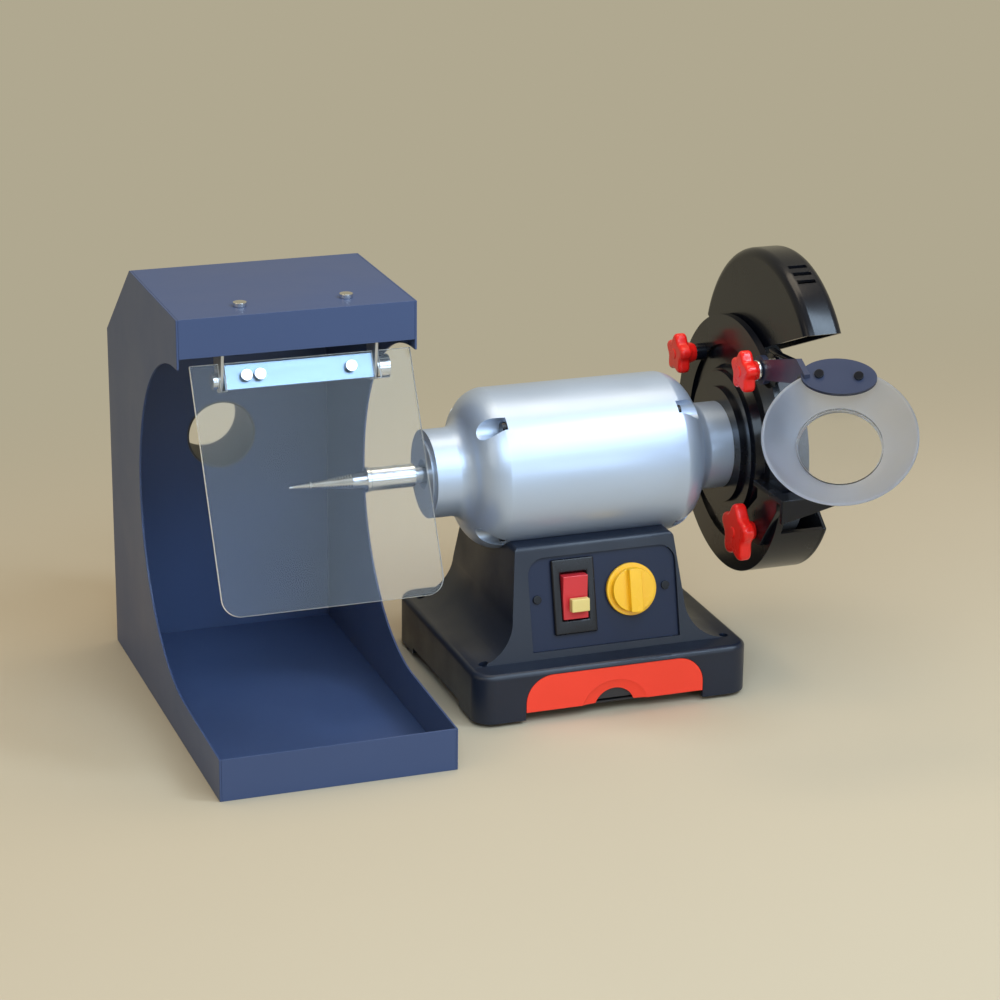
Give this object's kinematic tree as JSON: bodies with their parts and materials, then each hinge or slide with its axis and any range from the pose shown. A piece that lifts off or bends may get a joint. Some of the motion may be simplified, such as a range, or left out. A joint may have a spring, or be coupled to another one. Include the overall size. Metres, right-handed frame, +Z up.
{
  "type": "dental polishing lathe",
  "caption": "Bench polishing motor with taper spindle and dust hood on the left, guarded grinding wheel with eye shield on the right, drawer base.",
  "frame": {"origin": "centre of the four foot holes on the bench plane", "axes": "+X along the motor shaft towards the grinding wheel, -Y the front with the controls, +Z up"},
  "size_m": [0.4638, 0.4044, 0.299],
  "materials": {
    "arm_grey": "satin",
    "bar_aluminium": "milled",
    "bearing_steel": "ground",
    "black_panel": "smooth",
    "black_plastic": "fine grain moulded",
    "bright_screw": "nickel plated",
    "capacitor_shell": "drawn can",
    "circuit_green": "board",
    "dark_rubber": "matt",
    "drawer_red": "satin gloss",
    "frosted_plastic": "frosted",
    "galvanised": "zinc plated sheet",
    "guard_black": "satin black enamel",
    "hood_slate": "satin slate enamel",
    "key_yellow": "gloss",
    "knob_red": "satin gloss",
    "knob_yellow": "satin gloss",
    "lamination": "stacked laminations",
    "lens_glass": "clear",
    "shaft_steel": "turned",
    "shield_acrylic": "clear acrylic",
    "silver_paint": "silver hammer enamel",
    "switch_black": "gloss",
    "switch_red": "gloss",
    "tray_black": "matt",
    "wheel_grit": "bonded abrasive",
    "winding": "varnished copper wire"
  },
  "bodies": {
    "stand": {"base_shell": "black_plastic", "base_plate": "galvanised", "rubber_feet": "dark_rubber", "control_panel": "black_panel", "panel_screws": "bright_screw", "switch_body": "switch_black", "potentiometer_body": "shaft_steel", "control_board": "circuit_green", "run_capacitor": "capacitor_shell", "cable_gland": "black_plastic", "drawer_runners": "galvanised", "motor_barrel": "silver_paint", "left_end_bell": "silver_paint", "right_end_bell": "silver_paint", "tie_bolts": "bright_screw", "mount_bolts": "bright_screw", "stator_core": "lamination", "stator_windings": "winding", "bearing_outer_rings": "bearing_steel", "bearing_cover": "guard_black", "guard_inner": "guard_black", "guard_outer": "guard_black", "guard_screws": "bright_screw", "clamp_bolts": "shaft_steel", "eye_shield_nut": "bright_screw", "spark_guard": "guard_black"},
    "rotor": {"motor_shaft": "shaft_steel", "rotor_core": "lamination", "bearing_inner_rings": "bearing_steel", "taper_spindle": "shaft_steel", "spindle_set_screw": "shaft_steel", "grinding_wheel": "wheel_grit", "wheel_flanges": "shaft_steel", "wheel_nut": "bright_screw"},
    "drawer": {"drawer_tray": "tray_black", "drawer_front": "drawer_red"},
    "rocker": {"switch_rocker": "switch_red"},
    "key": {"switch_key": "key_yellow"},
    "speed": {"speed_knob": "knob_yellow", "potentiometer_shaft": "shaft_steel"},
    "flip_guard": {"upper_guard": "guard_black"},
    "guard_star": {"guard_knob": "knob_red"},
    "eye_star": {"eye_shield_knob": "knob_red"},
    "rest_star": {"tool_rest_knob": "knob_red"},
    "eye_shield": {"eye_shield_arm": "arm_grey", "lens_ring": "frosted_plastic", "lens_disc": "lens_glass", "lens_screws": "arm_grey"},
    "rest": {"tool_rest": "guard_black"},
    "hood": {"hood_wrap": "hood_slate", "hood_side_left": "hood_slate", "hood_side_right": "hood_slate", "outlet_spigot": "galvanised", "shield_bracket": "galvanised", "bracket_bolts": "bright_screw", "pivot_bolts": "bright_screw"},
    "shield": {"shield_bar": "bar_aluminium", "shield_panel": "shield_acrylic", "shield_screws": "bright_screw"},
    "thumb": {"shield_thumb_nut": "bright_screw"}
  },
  "joints": [
    {"name": "spindle_spin", "type": "hinge", "parent": "stand", "child": "rotor", "pos_m": [0, 0, 0.155], "axis": [1, 0, 0], "continuous": true},
    {"name": "drawer_slide", "type": "slide", "parent": "stand", "child": "drawer", "axis": [0, -1, 0], "range_m": [0, 0.095]},
    {"name": "rocker_tilt", "type": "hinge", "parent": "stand", "child": "rocker", "pos_m": [-0.0205, -0.05796, 0.07705], "axis": [1, 0, 0], "range_deg": [-16, 0]},
    {"name": "key_slide", "type": "slide", "parent": "rocker", "child": "key", "axis": [0, -0.9952, 0.098], "range_m": [0, 0.02]},
    {"name": "speed_turn", "type": "hinge", "parent": "stand", "child": "speed", "pos_m": [0.0213, -0.06035, 0.07783], "axis": [0, -0.9719, 0.2356], "range_deg": [0, 270]},
    {"name": "guard_flip", "type": "hinge", "parent": "stand", "child": "flip_guard", "pos_m": [0.1265, 0.048, 0.209], "axis": [1, 0, 0], "range_deg": [0, 40]},
    {"name": "guard_knob_turn", "type": "hinge", "parent": "stand", "child": "guard_star", "pos_m": [0.1, 0.048, 0.209], "axis": [1, 0, 0], "continuous": true},
    {"name": "eye_knob_turn", "type": "hinge", "parent": "stand", "child": "eye_star", "pos_m": [0.105, -0.06, 0.226], "axis": [1, 0, 0], "continuous": true},
    {"name": "rest_knob_turn", "type": "hinge", "parent": "stand", "child": "rest_star", "pos_m": [0.105, -0.056, 0.109], "axis": [1, 0, 0], "continuous": true},
    {"name": "eye_shield_tilt", "type": "hinge", "parent": "stand", "child": "eye_shield", "pos_m": [0.1135, -0.06, 0.226], "axis": [1, 0, 0], "range_deg": [-12, 25]},
    {"name": "tool_rest_slide", "type": "slide", "parent": "stand", "child": "rest", "axis": [0, -1, 0], "range_m": [0, 0.01]},
    {"name": "hood_slide", "type": "slide", "parent": "stand", "child": "hood", "axis": [-1, 0, 0], "range_m": [0, 0.15]},
    {"name": "shield_lift", "type": "hinge", "parent": "hood", "child": "shield", "pos_m": [-0.21, -0.0425, 0.2473], "axis": [1, 0, 0], "range_deg": [-60, 20]},
    {"name": "thumb_nut_turn", "type": "hinge", "parent": "hood", "child": "thumb", "pos_m": [-0.152, -0.0425, 0.2473], "axis": [1, 0, 0], "continuous": true}
  ]
}
